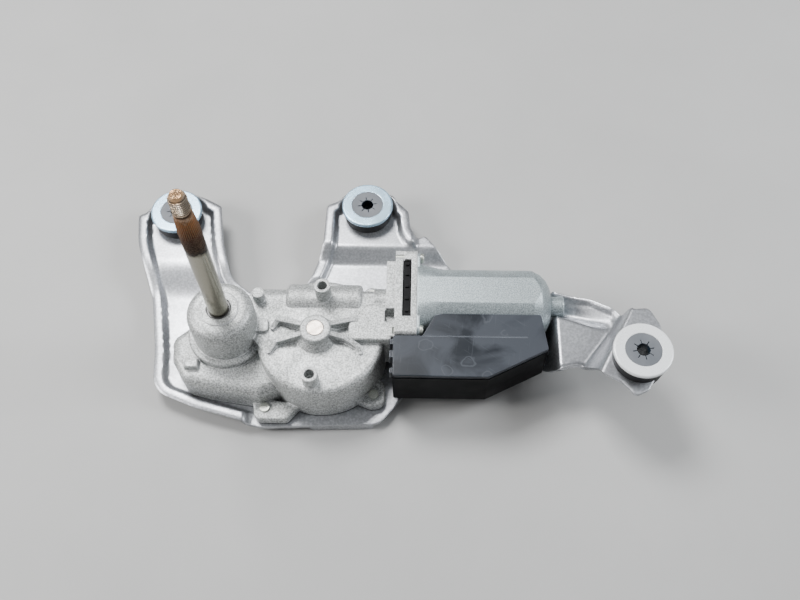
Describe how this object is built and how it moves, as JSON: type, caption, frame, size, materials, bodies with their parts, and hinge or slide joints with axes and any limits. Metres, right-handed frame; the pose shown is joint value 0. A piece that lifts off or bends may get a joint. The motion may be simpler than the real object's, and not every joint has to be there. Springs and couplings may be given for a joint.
{
  "type": "windshield wiper motor assembly",
  "caption": "Rear wiper motor with cast gear housing, output shaft, electronic controller and a pressed bracket carried on rubber-mounted collars.",
  "frame": {"origin": "on the output shaft's axis, at the top face of the boss it leaves", "axes": "+Z along the output shaft towards its thread, +X along the motor towards its rear bearing, +Y towards the two rear arms"},
  "size_m": [0.2762, 0.141, 0.1445],
  "materials": {
    "pressed_zinc": "satin zinc plate",
    "cast_aluminium": "blasted casting",
    "zinc_can": "galvanised, dull",
    "screw_steel": "zinc plated",
    "washer_zinc": "bright zinc plate",
    "rubber": "matte",
    "grey_nylon": "matte",
    "case_plastic": "moulded",
    "lid_plastic": "semi gloss",
    "shaft_steel": "ground, rust at the end",
    "hard_steel": "ground",
    "sintered_bronze": "oil filled",
    "gear_plastic": "greased",
    "lamination": "stacked sheet",
    "copper": "enamelled wire",
    "ferrite": "ground",
    "black_plastic": "moulded",
    "carbon": "pressed",
    "spring_steel": "drawn",
    "board": "solder mask",
    "capacitor_can": "drawn",
    "tinned": "tinned brass"
  },
  "bodies": {
    "motor_body": {"mounting_bracket": "pressed_zinc", "gear_housing": "cast_aluminium", "housing_gasket": "rubber", "housing_screws": "screw_steel", "wheel_pin": "hard_steel", "wheel_thrust_washer": "hard_steel", "wheel_retaining_ring": "spring_steel", "shaft_bush_lower": "sintered_bronze", "shaft_bush_upper": "sintered_bronze", "shaft_seal": "rubber", "shaft_thrust_washer": "hard_steel", "end_bush": "sintered_bronze", "thrust_pad": "hard_steel", "front_bearing": "sintered_bronze", "rear_bearing": "sintered_bronze", "motor_yoke": "zinc_can", "yoke_screws": "screw_steel", "field_magnets": "ferrite", "brush_holder": "black_plastic", "carbon_brushes": "carbon", "brush_springs": "spring_steel", "motor_terminals": "tinned", "controller_case": "case_plastic", "connector_header": "case_plastic", "controller_lid": "lid_plastic", "circuit_board": "board", "relay": "black_plastic", "capacitor": "capacitor_can", "choke": "ferrite", "driver_chips": "black_plastic", "connector_pins": "tinned", "rubber_grommet_left": "rubber", "flanged_collar_left": "washer_zinc", "star_retainer_left": "grey_nylon", "rubber_grommet_centre": "rubber", "flanged_collar_centre": "washer_zinc", "star_retainer_centre": "grey_nylon", "rubber_grommet_right": "rubber", "flanged_collar_right": "washer_zinc", "star_retainer_right": "grey_nylon"},
    "armature": {"armature_shaft": "hard_steel", "armature_core": "lamination", "armature_winding": "copper", "commutator": "copper"},
    "worm_gear": {"worm_wheel": "gear_plastic"},
    "output": {"output_shaft": "shaft_steel", "output_pinion": "hard_steel", "shaft_circlip": "spring_steel"},
    "plate": {"holding_plate": "hard_steel", "sector_pivot_pin": "hard_steel"},
    "link": {"sector_link": "hard_steel", "crank_pin": "hard_steel"}
  },
  "joints": [
    {"name": "armature_spin", "type": "hinge", "parent": "motor_body", "child": "armature", "pos_m": [0, 0.0174, -0.0255], "axis": [1, 0, 0], "continuous": true},
    {"name": "worm_wheel_turn", "type": "hinge", "parent": "motor_body", "child": "worm_gear", "pos_m": [0.0462, -0.0046, -0.0255], "axis": [0, 0, 1], "continuous": true},
    {"name": "output_shaft_swing", "type": "hinge", "parent": "motor_body", "child": "output", "pos_m": [0, 0, 0], "axis": [0, 0, 1], "range_deg": [-70, 70]},
    {"name": "holding_plate_swing", "type": "hinge", "parent": "motor_body", "child": "plate", "pos_m": [0, 0, -0.04], "axis": [0, 0, 1], "range_deg": [-26.5, 26.5]},
    {"name": "sector_link_swing", "type": "hinge", "parent": "plate", "child": "link", "pos_m": [-0.00209, -0.01989, -0.035], "axis": [0, 0, 1], "range_deg": [-26.5, 26.5]}
  ],
  "couplings": [
    {"joint": "worm_wheel_turn", "follows": "armature_spin", "ratio": 0.028571},
    {"joint": "holding_plate_swing", "follows": "output_shaft_swing", "ratio": 0.375},
    {"joint": "sector_link_swing", "follows": "output_shaft_swing", "ratio": -0.375}
  ]
}
